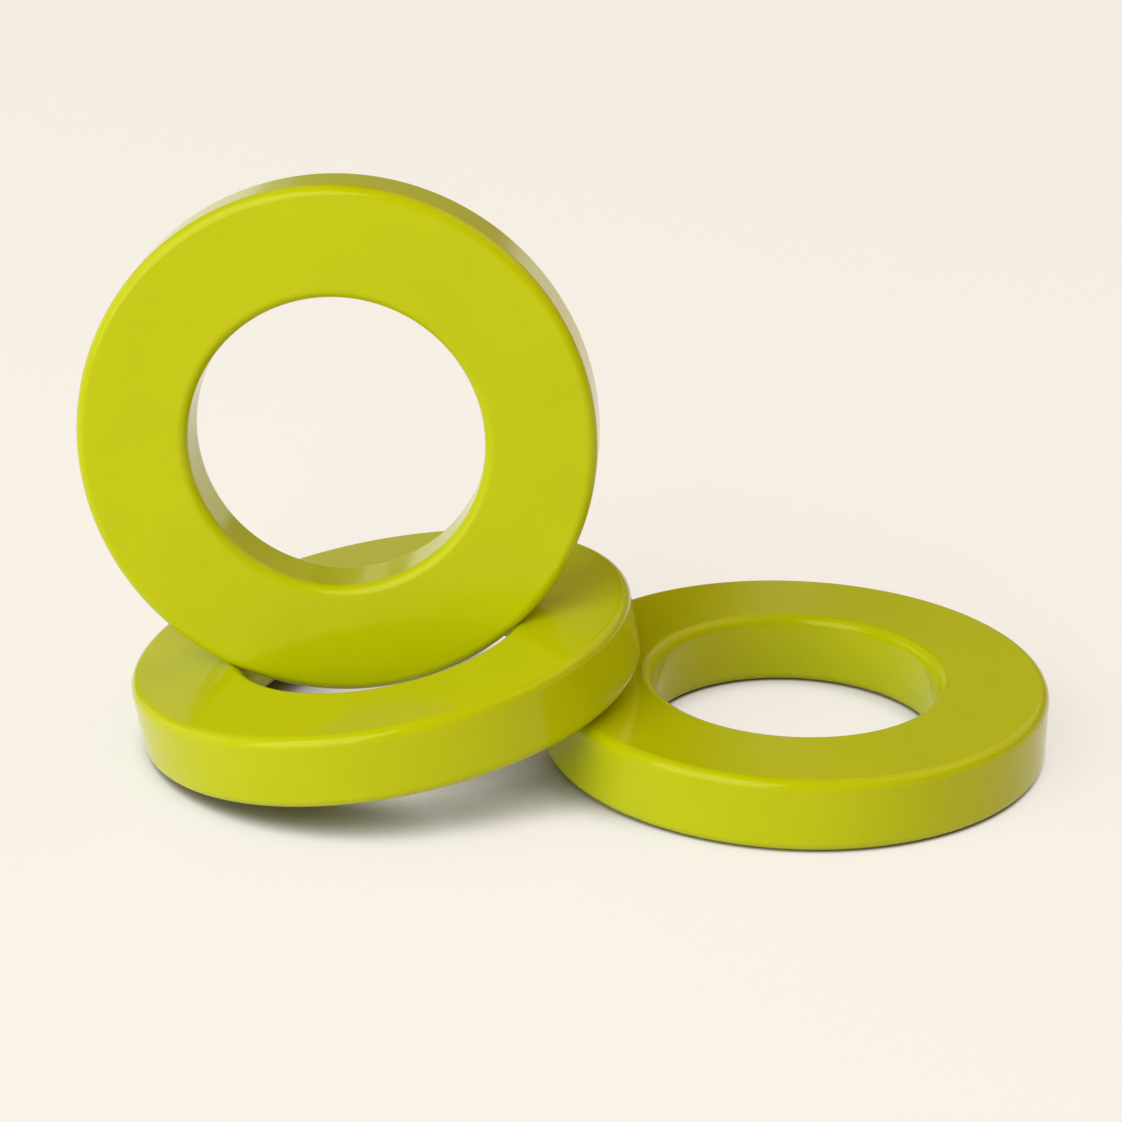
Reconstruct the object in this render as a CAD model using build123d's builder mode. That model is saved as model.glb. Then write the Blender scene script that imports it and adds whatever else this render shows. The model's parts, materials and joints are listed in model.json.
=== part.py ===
"""Three weighted exercise rings, stacked as they stand together on a floor. Millimetres, +Z up.

Every ring is the same product: an iron core in a silicone jacket. The jacket is moulded in two
halves, a tray that the core is laid into and a cover that closes it, and silicone dowels through
the core hold it in the middle of both. The flat ring lies on the floor with its underside at the
origin. The leaning ring has its low edge on the floor and its underside on the flat ring's near
edge, towards -X. The standing ring sits on edge in the leaning ring's hole.
"""
import os
from math import asin, atan2, cos, degrees, radians, sin, sqrt

from build123d import *

# One ring, the same for all three
outer_radius = 100  # axis to outer wall
bore_radius = 57  # axis to the wall of the hole
ring_thickness = 29
edge_radius = 4  # rounding of the ring's four edges
jacket_wall = 4  # silicone over the iron, on every side
core_edge_radius = 1.5  # rounding of the iron's four edges

# Seam between the jacket's halves, level with the ring's mid-plane on the outside
tongue_height = 3  # the tray's tongue stands this far into the cover
tongue_width = 2  # of the jacket's wall, next to the iron

# Dowels that hold the core in the mould, on a circle midway between hole and rim
dowel_count = 6
dowel_radius = 5
dowel_cover = 1  # silicone of the jacket over each dowel's end

# How the rings stand together
rest_gap = 0.3  # between one ring and the ring that it rests on
prop_lap = 32  # leaning ring's flat underside that lies beyond the edge that props it
standing_lean = 4.4  # degrees, standing ring's top towards +Y
standing_yaw = -1.8  # degrees, standing ring about the leaning ring's axis

# Sizes that follow
ring_width = outer_radius - bore_radius
middle_radius = (outer_radius + bore_radius) / 2
core_width = ring_width - 2 * jacket_wall
core_thickness = ring_thickness - 2 * jacket_wall
dowel_length = ring_thickness - 2 * dowel_cover

# Each rounded edge is a tube of edge_radius about a circle of this radius, this far off mid-plane
rim_radius = outer_radius - edge_radius
rim_offset = ring_thickness / 2 - edge_radius
edge_spacing = 2 * edge_radius + rest_gap  # between two such circles where two rings meet


def leaning_seat():
    """Mid-plane of the leaning ring: its underside runs over the low edge and the propping edge."""
    along = 2 * rim_radius - prop_lap  # from the low edge to the propping edge, on the slope
    rise = ring_thickness - 2 * edge_radius
    run = sqrt(along**2 + edge_spacing**2 - rise**2)
    tilt = atan2(rise, run) + asin(edge_spacing / sqrt(run**2 + rise**2))
    uphill = Vector(cos(tilt), 0, sin(tilt))
    normal = Vector(-sin(tilt), 0, cos(tilt))
    low_edge = Vector(-rim_radius - run, 0, edge_radius)
    print(f"leaning ring tilt {degrees(tilt):.3f} degrees")
    return Plane(low_edge + uphill * rim_radius + normal * rim_offset, uphill, normal)


def standing_seat(below):
    """Mid-plane of the standing ring: four points of its two rims rest on the hole's upper edge.

    Both rims lie on one ball about the ring's centre, and the hole's edge on another, so the
    height of the centre is the same for every lean and yaw.
    """
    reach = sqrt(rim_radius**2 + rim_offset**2) + edge_spacing
    height = rim_offset + sqrt(reach**2 - (bore_radius + edge_radius) ** 2)
    print(f"standing ring centre {height:.3f} above the leaning ring's mid-plane")
    lean = radians(standing_lean)
    yaw = radians(standing_yaw)
    across = below.x_dir * cos(yaw) + below.y_dir * sin(yaw)
    back = below.y_dir * cos(yaw) - below.x_dir * sin(yaw)
    front = below.z_dir * sin(lean) - back * cos(lean)
    return Plane(below.origin + below.z_dir * height, across, front)


def section_plane(seat):
    """Half-plane through the ring's axis: sketch X runs outwards and sketch Y along the axis."""
    return Plane(seat.origin, seat.x_dir, -seat.y_dir)


def dowel_discs(seat):
    """Lower end faces of the dowels, for the dowels themselves and for every hole that takes one."""
    with BuildSketch(seat.offset(-dowel_length / 2)) as discs:
        with PolarLocations(middle_radius, dowel_count):
            Circle(dowel_radius)
    return discs.sketch


def make_core(seat):
    """Iron ring with a through hole for each dowel."""
    with BuildPart() as core:
        with BuildSketch(section_plane(seat)):
            with Locations((middle_radius, 0)):
                RectangleRounded(core_width, core_thickness, core_edge_radius)
        revolve(axis=Axis(seat.origin, seat.z_dir))
        extrude(dowel_discs(seat), amount=dowel_length, mode=Mode.SUBTRACT)
    return core.part


def make_jacket_half(seat, kept_side, tongue_mode):
    """Half of the ring's outside, hollow for the core, with a blind pocket for each dowel.

    kept_side is the alignment that leaves that side of the mid-plane, and tongue_mode adds the
    seam's tongue to this half or cuts room for it.
    """
    with BuildPart() as jacket:
        with BuildSketch(section_plane(seat)):
            with Locations((middle_radius, 0)):
                RectangleRounded(ring_width, ring_thickness, edge_radius)
                half = (Align.CENTER, kept_side)
                Rectangle(ring_width, ring_thickness, align=half, mode=Mode.INTERSECT)
                above = (Align.CENTER, Align.MIN)
                Rectangle(core_width + 2 * tongue_width, tongue_height, align=above, mode=tongue_mode)
                RectangleRounded(core_width, core_thickness, core_edge_radius, mode=Mode.SUBTRACT)
        revolve(axis=Axis(seat.origin, seat.z_dir))
        extrude(dowel_discs(seat), amount=dowel_length, mode=Mode.SUBTRACT)
    return jacket.part


def make_jacket_tray(seat):
    """Lower half of the jacket, which carries the tongue."""
    return make_jacket_half(seat, Align.MAX, Mode.ADD)


def make_jacket_cover(seat):
    """Upper half of the jacket, stepped to take the tongue."""
    return make_jacket_half(seat, Align.MIN, Mode.SUBTRACT)


def make_dowels(seat):
    """Silicone dowels through the core, their ends in the pockets of both halves."""
    with BuildPart() as dowels:
        extrude(dowel_discs(seat), amount=dowel_length)
    return dowels.part


leaning = leaning_seat()
seats = {
    "flat_ring": Plane.XY.offset(ring_thickness / 2),
    "leaning_ring": leaning,
    "standing_ring": standing_seat(leaning),
}
makers = {
    "core": make_core,
    "jacket_tray": make_jacket_tray,
    "jacket_cover": make_jacket_cover,
    "dowels": make_dowels,
}

os.makedirs("parts", exist_ok=True)
for ring_name, seat in seats.items():
    print(f"{ring_name} centre {seat.origin} axis {seat.z_dir}")
    for piece_name, make_piece in makers.items():
        piece = make_piece(seat)
        piece.label = f"{ring_name}_{piece_name}"
        export_step(piece, f"parts/{piece.label}.step")
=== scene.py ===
"""Three silicone-jacketed exercise rings, standing together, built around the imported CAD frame."""
import json
import math

import bpy
import numpy as np
from mathutils import Matrix, Vector


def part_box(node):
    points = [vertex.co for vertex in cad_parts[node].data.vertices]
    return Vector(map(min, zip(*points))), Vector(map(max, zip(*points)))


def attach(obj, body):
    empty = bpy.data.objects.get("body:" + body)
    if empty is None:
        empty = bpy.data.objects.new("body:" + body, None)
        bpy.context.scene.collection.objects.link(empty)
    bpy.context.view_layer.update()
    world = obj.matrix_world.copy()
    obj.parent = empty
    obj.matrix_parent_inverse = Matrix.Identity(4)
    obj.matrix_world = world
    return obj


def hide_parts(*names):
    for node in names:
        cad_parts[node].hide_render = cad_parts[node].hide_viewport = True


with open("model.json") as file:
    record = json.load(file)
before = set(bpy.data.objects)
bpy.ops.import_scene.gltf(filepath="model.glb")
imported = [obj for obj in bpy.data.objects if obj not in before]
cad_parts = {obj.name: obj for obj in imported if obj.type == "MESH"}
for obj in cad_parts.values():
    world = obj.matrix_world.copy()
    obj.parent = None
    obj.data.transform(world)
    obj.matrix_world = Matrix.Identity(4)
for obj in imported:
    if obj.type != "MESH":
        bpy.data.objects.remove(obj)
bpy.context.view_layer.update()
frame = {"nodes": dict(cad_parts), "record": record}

MM = 0.001
RINGS = ("flat_ring", "leaning_ring", "standing_ring")
CORE_EDGE = 1.5 * MM  # rounding of the iron core's edges, which the jacket's inside follows

# Steps of the jacket's mesh: once round the axis, then along its section.
AROUND = 384
WALL_STEPS = 6
ARC_STEPS = 14
FACE_STEPS = 24
CORE_WALL_STEPS = 3
CORE_ARC_STEPS = 4
CORE_FACE_STEPS = 6

# ---------------------------------------------------------------- sizes, read from the frame


def mount(name):
    """The record's mount of that name."""
    return next(m for m in frame["record"]["mounts"] if m["name"] == name)


def ring_sizes():
    """Sizes of a ring, in metres, from the flat one, which has its axis along Z."""
    tray_low, tray_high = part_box("flat_ring_jacket_tray")
    cover_low, cover_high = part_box("flat_ring_jacket_cover")
    core_low, core_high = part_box("flat_ring_core")
    hole = mount("flat_ring_hole")["dims"]
    thickness = cover_high.z - tray_low.z
    outer = (tray_high.x - tray_low.x) / 2
    wall = outer - (core_high.x - core_low.x) / 2
    return {
        "outer": outer,
        "bore": hole["r_mm"] * MM,
        "half": thickness / 2,
        "edge": (thickness - hole["length_mm"] * MM) / 2,
        "wall": wall,
        "tongue_height": tray_high.z - cover_low.z,
        "tongue_width": wall / 2,
    }


SIZE = ring_sizes()


def ring_axes(ring):
    """Centre, two radial directions and axis of a ring.

    The dowels are spaced evenly about the axis and spread least along it, so the axis is the last
    singular vector of their corners, turned to the cover's side. The first radial direction is
    square to it and level, or square to it and to Y where the axis is nearer to upright.
    """
    mesh = frame["nodes"][ring + "_dowels"].data
    points = np.empty(len(mesh.vertices) * 3)
    mesh.vertices.foreach_get("co", points)
    points = points.reshape(-1, 3)
    centre = points.mean(0)
    axis = np.linalg.svd(points - centre, full_matrices=False)[2][2]
    low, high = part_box(ring + "_jacket_cover")
    if axis @ (np.array((low + high) / 2) - centre) < 0:
        axis = -axis
    across = np.cross((0, 1, 0), axis) if abs(axis[1]) < 0.5 else np.cross((0, 0, 1), axis)
    across /= np.linalg.norm(across)
    return centre, across, np.cross(axis, across), axis


# ---------------------------------------------------------------- surfaces of revolution


def straight(start, end, steps=1):
    """Profile run from start to end: points, and the outward normal to the right of the way."""
    start, end = np.array(start), np.array(end)
    share = np.linspace(0, 1, steps + 1)[:, None]
    points = start + share * (end - start)
    way = (end - start) / np.linalg.norm(end - start)
    normals = np.tile((way[1], -way[0]), (steps + 1, 1))
    return points, normals


def rounded(centre, radius, start_deg, end_deg, steps=ARC_STEPS):
    """Profile arc: centre + radius (cos a, sin a), with a from start_deg to end_deg.

    Its normals point away from the centre where it turns left, and to the centre where it
    turns right.
    """
    angles = np.radians(np.linspace(start_deg, end_deg, steps + 1))
    spokes = np.column_stack((np.cos(angles), np.sin(angles)))
    points = np.array(centre) + radius * spokes
    return points, spokes if end_deg > start_deg else -spokes


def jacket_profile(half):
    """Closed profile of a jacket half, as (radius, height) runs that go anticlockwise in that plane.

    Both halves are the ring's rounded section less the core's, parted at mid-plane with a step:
    the tray's tongue rises by tongue_height next to the core, and the cover leaves room for it.
    The tray is drawn upside down, with its tongue reaching below the seam, and flipped after.
    """
    outer, bore, top, edge = SIZE["outer"], SIZE["bore"], SIZE["half"], SIZE["edge"]
    core_out, core_in = outer - SIZE["wall"], bore + SIZE["wall"]
    core_top = top - SIZE["wall"]
    step_out, step_in = core_out + SIZE["tongue_width"], core_in - SIZE["tongue_width"]
    step = SIZE["tongue_height"] if half == "cover" else -SIZE["tongue_height"]
    outside = [
        straight((outer, 0), (outer, top - edge), WALL_STEPS),
        rounded((outer - edge, top - edge), edge, 0, 90),
        straight((outer - edge, top), (bore + edge, top), FACE_STEPS),
        rounded((bore + edge, top - edge), edge, 90, 180),
        straight((bore, top - edge), (bore, 0), WALL_STEPS),
    ]
    bore_seam = [
        straight((bore, 0), (step_in, 0)),
        straight((step_in, 0), (step_in, step)),
        straight((step_in, step), (core_in, step)),
    ]
    inside = [
        straight((core_in, step), (core_in, core_top - CORE_EDGE), CORE_WALL_STEPS),
        rounded((core_in + CORE_EDGE, core_top - CORE_EDGE), CORE_EDGE, 180, 90, CORE_ARC_STEPS),
        straight((core_in + CORE_EDGE, core_top), (core_out - CORE_EDGE, core_top), CORE_FACE_STEPS),
        rounded((core_out - CORE_EDGE, core_top - CORE_EDGE), CORE_EDGE, 90, 0, CORE_ARC_STEPS),
        straight((core_out, core_top - CORE_EDGE), (core_out, step), CORE_WALL_STEPS),
    ]
    outer_seam = [
        straight((core_out, step), (step_out, step)),
        straight((step_out, step), (step_out, 0)),
        straight((step_out, 0), (outer, 0)),
    ]
    return outside + bore_seam + inside + outer_seam


def revolved(name, runs, axes, flip=False):
    """Closed ring from a closed profile carried once round the axis.

    Point (i, j) is centre + radius_i (cos t_j across + sin t_j beside) + height_i axis, and each
    face corner has the profile's own normal there, turned the same way. With flip the heights are
    turned over, and the faces' corners with them.
    """
    centre, across, beside, axis = axes
    side = -1.0 if flip else 1.0
    points = np.concatenate([run[0][:-1] for run in runs])
    corner_from = np.concatenate([run[1][:-1] for run in runs])
    corner_to = np.concatenate([run[1][1:] for run in runs])
    count = len(points)
    turn = np.linspace(0, 2 * math.pi, AROUND, endpoint=False)
    spoke = np.cos(turn)[:, None] * across + np.sin(turn)[:, None] * beside
    grid = centre + points[:, 0, None, None] * spoke + side * points[:, 1, None, None] * axis
    i, j = np.meshgrid(np.arange(count), np.arange(AROUND), indexing="ij")
    following, beyond = (i + 1) % count, (j + 1) % AROUND
    rows = np.stack((i, following, following, i) if flip else (i, i, following, following), -1)
    columns = np.stack((j, j, beyond, beyond) if flip else (j, beyond, beyond, j), -1)
    faces = (rows * AROUND + columns).reshape(-1, 4)
    at_start = rows == i[..., None]
    normal = np.where(at_start[..., None], corner_from[i][:, :, None], corner_to[i][:, :, None])
    normals = normal[..., 0, None] * spoke[columns] + side * normal[..., 1, None] * axis

    mesh = bpy.data.meshes.new(name)
    mesh.from_pydata(grid.reshape(-1, 3), [], faces)
    mesh.update()
    mesh.shade_smooth()
    mesh.normals_split_custom_set(normals.reshape(-1, 3))
    piece = bpy.data.objects.new(name, mesh)
    bpy.context.scene.collection.objects.link(piece)
    return piece


# ---------------------------------------------------------------- material nodes

NOISE_LOW = 0.3  # most of a noise's values lie between these
NOISE_HIGH = 0.7


def new_material(name):
    """Empty node material, its tree and its Principled shader."""
    material = bpy.data.materials.new(name)
    material.use_nodes = True
    tree = material.node_tree
    return material, tree, tree.nodes["Principled BSDF"]


def noise(tree, scale, detail=2.0, roughness=0.5):
    """Noise over the frame that all pieces share at rest: scale is in cells per metre."""
    place = tree.nodes.new("ShaderNodeTexCoord")
    texture = tree.nodes.new("ShaderNodeTexNoise")
    texture.inputs["Scale"].default_value = scale
    texture.inputs["Detail"].default_value = detail
    texture.inputs["Roughness"].default_value = roughness
    tree.links.new(place.outputs["Object"], texture.inputs["Vector"])
    return texture.outputs["Fac"]


def spread(tree, value, low, high):
    """The noise's usual span, NOISE_LOW to NOISE_HIGH, spread over low to high."""
    node = tree.nodes.new("ShaderNodeMapRange")
    node.inputs["From Min"].default_value = NOISE_LOW
    node.inputs["From Max"].default_value = NOISE_HIGH
    node.inputs["To Min"].default_value = low
    node.inputs["To Max"].default_value = high
    tree.links.new(value, node.inputs["Value"])
    return node.outputs["Result"]


def eased(tree, value, start, end):
    """0 to 1 as the value goes from start up or down to end, slower near both."""
    node = tree.nodes.new("ShaderNodeMapRange")
    node.interpolation_type = "SMOOTHSTEP"
    node.inputs["From Min"].default_value = start
    node.inputs["From Max"].default_value = end
    tree.links.new(value, node.inputs["Value"])
    return node.outputs["Result"]


def maths(tree, operation, *values):
    """Result of a Math node whose values are numbers or other nodes' outputs."""
    node = tree.nodes.new("ShaderNodeMath")
    node.operation = operation
    for socket, value in zip(node.inputs, values):
        if isinstance(value, float):
            socket.default_value = value
        else:
            tree.links.new(value, socket)
    return node.outputs["Value"]


def between(tree, factor, first, second):
    """Colour from first to second by factor, each a fixed colour or another node's output."""
    node = tree.nodes.new("ShaderNodeMix")
    node.data_type = "RGBA"
    for socket, colour in (("A", first), ("B", second)):
        if isinstance(colour, tuple):
            node.inputs[socket].default_value = (*colour, 1)
        else:
            tree.links.new(colour, node.inputs[socket])
    tree.links.new(factor, node.inputs["Factor"])
    return node.outputs["Result"]


def bumped(tree, height, depth, below=None):
    """Normal moved by a height field whose full swing is depth metres, over the normal below."""
    node = tree.nodes.new("ShaderNodeBump")
    node.inputs["Strength"].default_value = 1.0
    node.inputs["Distance"].default_value = depth
    tree.links.new(height, node.inputs["Height"])
    if below is not None:
        tree.links.new(below, node.inputs["Normal"])
    return node.outputs["Normal"]


# ---------------------------------------------------------------- finishes


def jacket_silicone():
    """Through-coloured chartreuse silicone from a polished mould, faintly cloudy, with a satin grain."""
    material, tree, shader = new_material("jacket_silicone")
    deep, light = (0.540, 0.588, 0.0008), (0.570, 0.612, 0.0015)
    cloud = spread(tree, noise(tree, scale=34, detail=3), 0, 1)
    tree.links.new(between(tree, cloud, deep, light), shader.inputs["Base Color"])
    gloss = spread(tree, noise(tree, scale=90, detail=4, roughness=0.6), 0.10, 0.13)
    tree.links.new(gloss, shader.inputs["Roughness"])
    wave = bumped(tree, noise(tree, scale=22, detail=1), depth=0.10 * MM)
    grain = bumped(tree, noise(tree, scale=2600), depth=0.004 * MM, below=wave)
    tree.links.new(grain, shader.inputs["Normal"])
    shader.inputs["IOR"].default_value = 1.41
    shader.inputs["Specular Tint"].default_value = (1.0, 0.98, 0.45, 1)
    return material


def dowel_silicone():
    """The same silicone, moulded matt."""
    material, tree, shader = new_material("dowel_silicone")
    deep, light = (0.54, 0.57, 0.003), (0.59, 0.61, 0.005)
    cloud = spread(tree, noise(tree, scale=60, detail=3), 0, 1)
    tree.links.new(between(tree, cloud, deep, light), shader.inputs["Base Color"])
    gloss = spread(tree, noise(tree, scale=300, detail=3), 0.5, 0.62)
    tree.links.new(gloss, shader.inputs["Roughness"])
    return material


def cast_iron():
    """Primed grey iron with the sand mould's grain."""
    material, tree, shader = new_material("cast_iron")
    deep, light = (0.020, 0.020, 0.022), (0.045, 0.043, 0.042)
    cloud = spread(tree, noise(tree, scale=70, detail=5), 0, 1)
    tree.links.new(between(tree, cloud, deep, light), shader.inputs["Base Color"])
    gloss = spread(tree, noise(tree, scale=400, detail=4), 0.45, 0.75)
    tree.links.new(gloss, shader.inputs["Roughness"])
    grain = bumped(tree, noise(tree, scale=700, detail=6, roughness=0.65), depth=0.12 * MM)
    tree.links.new(grain, shader.inputs["Normal"])
    shader.inputs["Metallic"].default_value = 0.6
    return material


# ---------------------------------------------------------------- the rings

silicone = jacket_silicone()
finishes = {"core": cast_iron(), "dowels": dowel_silicone()}

for ring in RINGS:
    axes = ring_axes(ring)
    for half in ("tray", "cover"):
        piece = revolved(f"{ring}_{half}_skin", jacket_profile(half), axes, flip=half == "tray")
        piece.data.materials.append(silicone)
        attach(piece, ring)
        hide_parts(f"{ring}_jacket_{half}")
    for node, finish in finishes.items():
        frame["nodes"][f"{ring}_{node}"].data.materials.clear()
        frame["nodes"][f"{ring}_{node}"].data.materials.append(finish)

# ---------------------------------------------------------------- floor

BACKGROUND = (0.930, 0.879, 0.783)  # the far floor and the horizon
FLOOR_PAINT = (0.72, 0.68, 0.605)  # how the floor bounces light on to the rings
FLOOR_SEEN = (0.34, 0.325, 0.29)  # how it shows the lamps' light, weakly, so that shadows stay faint
FLOOR_GLOW = (0.662, 0.641, 0.632)  # what it gives off to the eye besides, near the rings
NEAR_FLOOR = 0.6  # as far out as this the floor shows the lamps' light and FLOOR_GLOW
FAR_FLOOR = 2.5  # from here on it shows BACKGROUND alone
FLOOR_RADIUS = 8.0
FLOOR_SIDES = 96
FLOOR_DROP = 0.05 * MM  # keeps the floor clear of the faces that rest on it
SHADE_REACH = 0.06  # how near things must be to close the floor in
SHADE_FULL = 0.20  # open share of the sky at which the floor's glow is gone
SHADE_NONE = 0.58  # and at which it is whole
SHADE_RAYS = 16


def seen_ray(tree):
    """1 for a ray that meets the paint from the eye, off gloss or through glass, 0 for bounced light."""
    path = tree.nodes.new("ShaderNodeLightPath")
    seen = path.outputs["Is Camera Ray"]
    for ray in ("Is Glossy Ray", "Is Transmission Ray"):
        seen = maths(tree, "MAXIMUM", seen, path.outputs[ray])
    return seen


def floor_paint():
    """Pale paint that shows evenly and keeps faint shadows.

    Its glow fades where the floor is closed in, a painted shade under and between the rings, so a narrow
    gap is as dark as its light leaves it.
    From NEAR_FLOOR to FAR_FLOOR out, glow takes over from the lamps' light and meets the horizon.
    """
    material, tree, shader = new_material("floor_paint")
    seen = seen_ray(tree)
    place = tree.nodes.new("ShaderNodeTexCoord")
    reach = tree.nodes.new("ShaderNodeVectorMath")
    reach.operation = "LENGTH"
    tree.links.new(place.outputs["Object"], reach.inputs[0])
    far = eased(tree, reach.outputs["Value"], NEAR_FLOOR, FAR_FLOOR)
    lit = between(tree, far, FLOOR_SEEN, (0, 0, 0))
    tree.links.new(between(tree, seen, FLOOR_PAINT, lit), shader.inputs["Base Color"])
    shader.inputs["Roughness"].default_value = 1.0
    shader.inputs["Specular IOR Level"].default_value = 0.0
    # painted shade: the glow dims by ambient occlusion where the rings close the floor in, not by the
    # lamps
    closed_in = tree.nodes.new("ShaderNodeAmbientOcclusion")
    closed_in.samples = SHADE_RAYS
    closed_in.inputs["Distance"].default_value = SHADE_REACH
    openness = eased(tree, closed_in.outputs["AO"], SHADE_FULL, SHADE_NONE)
    tree.links.new(between(tree, far, FLOOR_GLOW, BACKGROUND), shader.inputs["Emission Color"])
    tree.links.new(maths(tree, "MULTIPLY", seen, openness), shader.inputs["Emission Strength"])
    return material


def make_floor():
    """Round floor, wide enough to fill any view from above it.

    Rim point k is FLOOR_RADIUS (cos t_k, sin t_k) at FLOOR_DROP under the rings.
    """
    turn = np.linspace(0, 2 * math.pi, FLOOR_SIDES, endpoint=False)
    height = np.full(FLOOR_SIDES, -FLOOR_DROP)
    rim = np.column_stack((FLOOR_RADIUS * np.cos(turn), FLOOR_RADIUS * np.sin(turn), height))
    mesh = bpy.data.meshes.new("floor")
    mesh.from_pydata(rim, [], [tuple(range(FLOOR_SIDES))])
    mesh.materials.append(floor_paint())
    floor = bpy.data.objects.new("floor", mesh)
    bpy.context.scene.collection.objects.link(floor)


# ---------------------------------------------------------------- room

# Heights and sideways places in the room are those on a dome of radius 1.
ROOM = (0.337, 0.298, 0.150)
ROOM_FROM = 0.04  # height from which the room is its own colour, not the background's
DARK_MIDDLE = -0.034  # sideways place of the unlit stretch
DARK_REACH = 0.086  # how far it reaches to either side
DARK_FROM = 0.30  # height from which it shows
SIDE_FADE = 0.1  # share of DARK_REACH over which its sides fade, inwards and outwards
LOW_FADE = 0.2  # share of DARK_FROM over which it fades downwards


def make_world():
    """Dim room, paler down towards a horizon that carries on from the floor's far edge.

    Above DARK_FROM a stretch of it is unlit, from behind the rings over them to the front.
    """
    world = bpy.data.worlds.new("room")
    bpy.context.scene.world = world
    world.use_nodes = True
    tree = world.node_tree
    shader = tree.nodes["Background"]
    way = tree.nodes.new("ShaderNodeTexCoord")
    parts = tree.nodes.new("ShaderNodeSeparateXYZ")
    tree.links.new(way.outputs["Generated"], parts.inputs["Vector"])
    rise = eased(tree, parts.outputs["Z"], 0.0, ROOM_FROM)
    tree.links.new(between(tree, rise, BACKGROUND, ROOM), shader.inputs["Color"])
    aside = maths(tree, "ABSOLUTE", maths(tree, "SUBTRACT", parts.outputs["X"], DARK_MIDDLE))
    beside = eased(tree, aside, (1 - SIDE_FADE) * DARK_REACH, (1 + SIDE_FADE) * DARK_REACH)
    below = eased(tree, parts.outputs["Z"], DARK_FROM, (1 - LOW_FADE) * DARK_FROM)
    tree.links.new(maths(tree, "MAXIMUM", beside, below), shader.inputs["Strength"])


# ---------------------------------------------------------------- lamps and camera

MIDDLE = (-0.08, 0.0, 0.10)  # what the lamps are aimed at
LAMP_DISTANCE = 3.0
# Each lamp's azimuth (0 behind the rings, 90 to their right) and elevation in degrees, width and
# height in metres, power in watts, and colour.
LAMPS = {
    "key": (219, 29, 3.0, 3.2, 80.5, (0.96, 1.0, 0.95)),
    "left": (275, 20, 2.0, 1.8, 9.7, (1.0, 0.96, 0.90)),
    "right": (90, 54, 2.2, 1.6, 14.5, (1.0, 0.60, 0.42)),
    "right_back": (45, 40, 2.6, 2.0, 10.7, (1.0, 0.82, 0.62)),
    "left_back": (300, 10, 1.6, 0.8, 3.1, (1.0, 0.78, 0.55)),
    "back_panel": (342, 13, 0.77, 0.70, 0.60, (1.0, 0.97, 0.90)),
    "back_strip": (5.8, 20.7, 0.11, 0.45, 0.025, (1.0, 0.97, 0.90)),
}

CAMERA_PLACE = (-0.0937, -1.1617, 0.5427)
CAMERA_DOWN = 21.92  # degrees below level
CAMERA_ROLL = 0.905  # degrees
LENS = 102.7  # mm
SENSOR = 36  # mm
NEAR_CLIP = 0.05
FAR_CLIP = 50


def make_lamp(name, azimuth, elevation, width, height, power, colour):
    """Soft box at LAMP_DISTANCE in that direction from MIDDLE, facing it."""
    turn, rise = math.radians(azimuth), math.radians(elevation)
    way = Vector((math.cos(rise) * math.sin(turn), math.cos(rise) * math.cos(turn), math.sin(rise)))
    lamp = bpy.data.lights.new(name, "AREA")
    lamp.shape = "RECTANGLE"
    lamp.size = width
    lamp.size_y = height
    lamp.energy = power
    lamp.color = colour
    holder = bpy.data.objects.new(name, lamp)
    facing = way.to_track_quat("Z", "Y").to_matrix().to_4x4()
    holder.matrix_world = Matrix.Translation(Vector(MIDDLE) + LAMP_DISTANCE * way) @ facing
    holder.visible_camera = False
    bpy.context.scene.collection.objects.link(holder)


def make_camera():
    """Camera looking along +Y and down, a little rolled, with a long lens."""
    data = bpy.data.cameras.new("camera")
    data.lens = LENS
    data.sensor_width = SENSOR
    data.clip_start = NEAR_CLIP
    data.clip_end = FAR_CLIP
    camera = bpy.data.objects.new("camera", data)
    down, roll = math.radians(CAMERA_DOWN), math.radians(CAMERA_ROLL)
    turn = Matrix.Rotation(math.pi / 2 - down, 4, "X") @ Matrix.Rotation(roll, 4, "Z")
    camera.matrix_world = Matrix.Translation(CAMERA_PLACE) @ turn
    bpy.context.scene.collection.objects.link(camera)
    bpy.context.scene.camera = camera


make_floor()
make_world()
for lamp_name, settings in LAMPS.items():
    make_lamp(lamp_name, *settings)
make_camera()

bpy.context.scene.view_settings.view_transform = "Standard"
